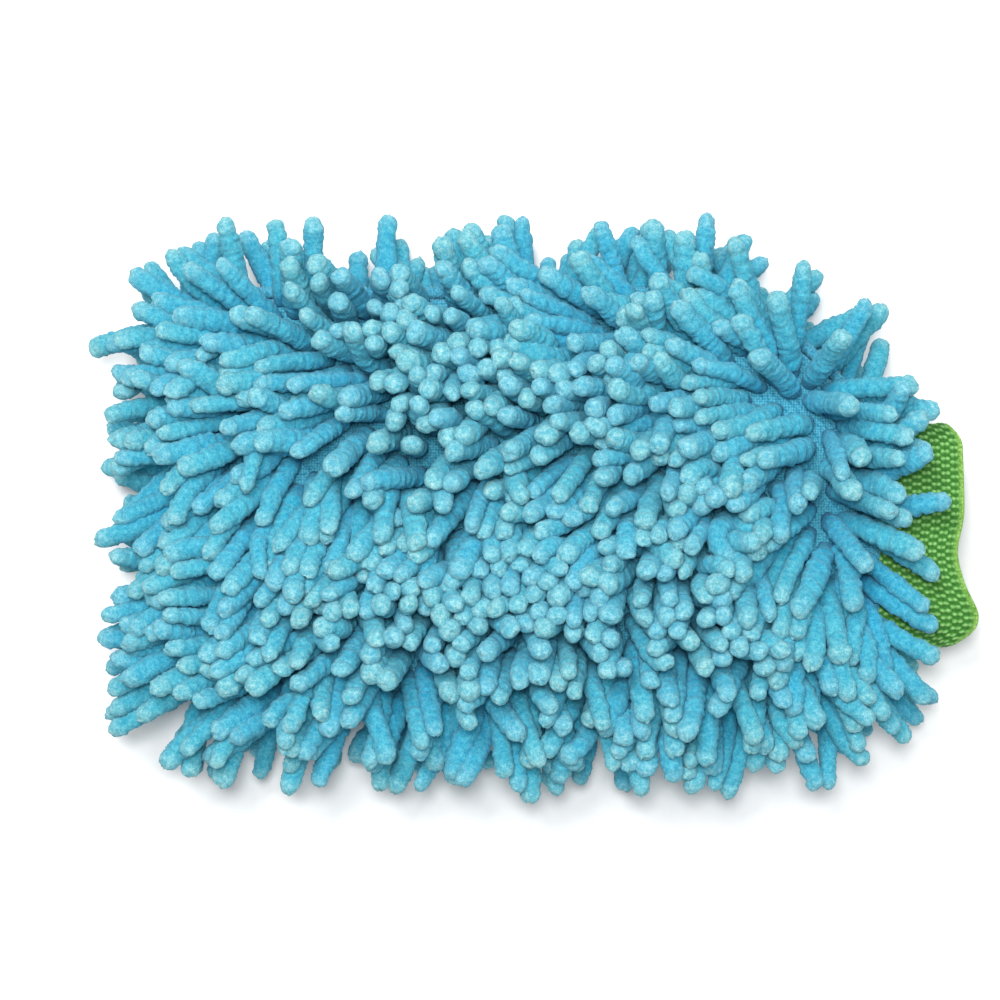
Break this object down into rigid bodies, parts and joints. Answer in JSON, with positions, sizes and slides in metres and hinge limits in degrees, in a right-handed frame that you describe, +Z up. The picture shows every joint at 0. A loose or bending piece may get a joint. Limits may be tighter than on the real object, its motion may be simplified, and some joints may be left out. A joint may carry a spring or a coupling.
{
  "type": "wash mitt",
  "caption": "Two-sided chenille wash mitt: a lined hand pocket with rows of soft noodle fingers on back and palm, and a woven elastic cuff at the mouth.",
  "frame": {"origin": "under the middle of the mitt's bounding box, on the surface it lies on", "axes": "+X from the fingertips to the cuff (longest), +Y across the hand, +Z up from palm to back (shortest)"},
  "size_m": [0.2611, 0.167, 0.064],
  "materials": {
    "chenille": "soft fuzzy chenille microfibre, matt",
    "base_cloth": "fine knit, matt",
    "lining": "smooth knitted polyester lining",
    "blue_thread": "overlock stitching thread",
    "elastic": "woven ribbed elastic webbing, matt",
    "green_thread": "overlock stitching thread"
  },
  "bodies": {
    "hand_half": {"back_cloth_hand": "base_cloth", "back_lining_hand": "lining", "back_hand_chenille_row_01": "chenille", "back_hand_chenille_row_02": "chenille", "back_hand_chenille_row_03": "chenille", "back_hand_chenille_row_04": "chenille", "back_hand_chenille_row_05": "chenille", "back_hand_chenille_row_06": "chenille", "back_hand_chenille_row_07": "chenille", "back_hand_chenille_row_08": "chenille", "back_hand_chenille_row_09": "chenille", "back_hand_chenille_row_10": "chenille", "palm_cloth_hand": "base_cloth", "palm_lining_hand": "lining", "palm_hand_chenille_row_01": "chenille", "palm_hand_chenille_row_02": "chenille", "palm_hand_chenille_row_03": "chenille", "palm_hand_chenille_row_04": "chenille", "palm_hand_chenille_row_05": "chenille", "palm_hand_chenille_row_06": "chenille", "palm_hand_chenille_row_07": "chenille", "palm_hand_chenille_row_08": "chenille", "palm_hand_chenille_row_09": "chenille", "palm_hand_chenille_row_10": "chenille", "upper_side_seam": "blue_thread", "lower_side_seam": "blue_thread", "cuff_joining_seam": "green_thread"},
    "finger_half": {"back_cloth_finger": "base_cloth", "back_lining_finger": "lining", "back_finger_chenille_row_01": "chenille", "back_finger_chenille_row_02": "chenille", "back_finger_chenille_row_03": "chenille", "back_finger_chenille_row_04": "chenille", "back_finger_chenille_row_05": "chenille", "back_finger_chenille_row_06": "chenille", "back_finger_chenille_row_07": "chenille", "back_finger_chenille_row_08": "chenille", "back_finger_chenille_row_09": "chenille", "back_finger_chenille_row_10": "chenille", "palm_cloth_finger": "base_cloth", "palm_lining_finger": "lining", "palm_finger_chenille_row_01": "chenille", "palm_finger_chenille_row_02": "chenille", "palm_finger_chenille_row_03": "chenille", "palm_finger_chenille_row_04": "chenille", "palm_finger_chenille_row_05": "chenille", "palm_finger_chenille_row_06": "chenille", "palm_finger_chenille_row_07": "chenille", "palm_finger_chenille_row_08": "chenille", "palm_finger_chenille_row_09": "chenille", "palm_finger_chenille_row_10": "chenille", "fingertip_seam": "blue_thread"},
    "cuff": {"elastic_cuff": "elastic", "cuff_lap_seam": "green_thread"}
  },
  "joints": [
    {"name": "knuckle_bend", "type": "hinge", "parent": "hand_half", "child": "finger_half", "pos_m": [0, 0, 0.029], "axis": [0, -1, 0], "range_deg": [-25, 40]},
    {"name": "cuff_flex", "type": "hinge", "parent": "hand_half", "child": "cuff", "pos_m": [0.1022, -0.009, 0.029], "axis": [0, -1, 0], "range_deg": [-20, 20], "stiffness_Nm_per_rad": 0.05}
  ]
}
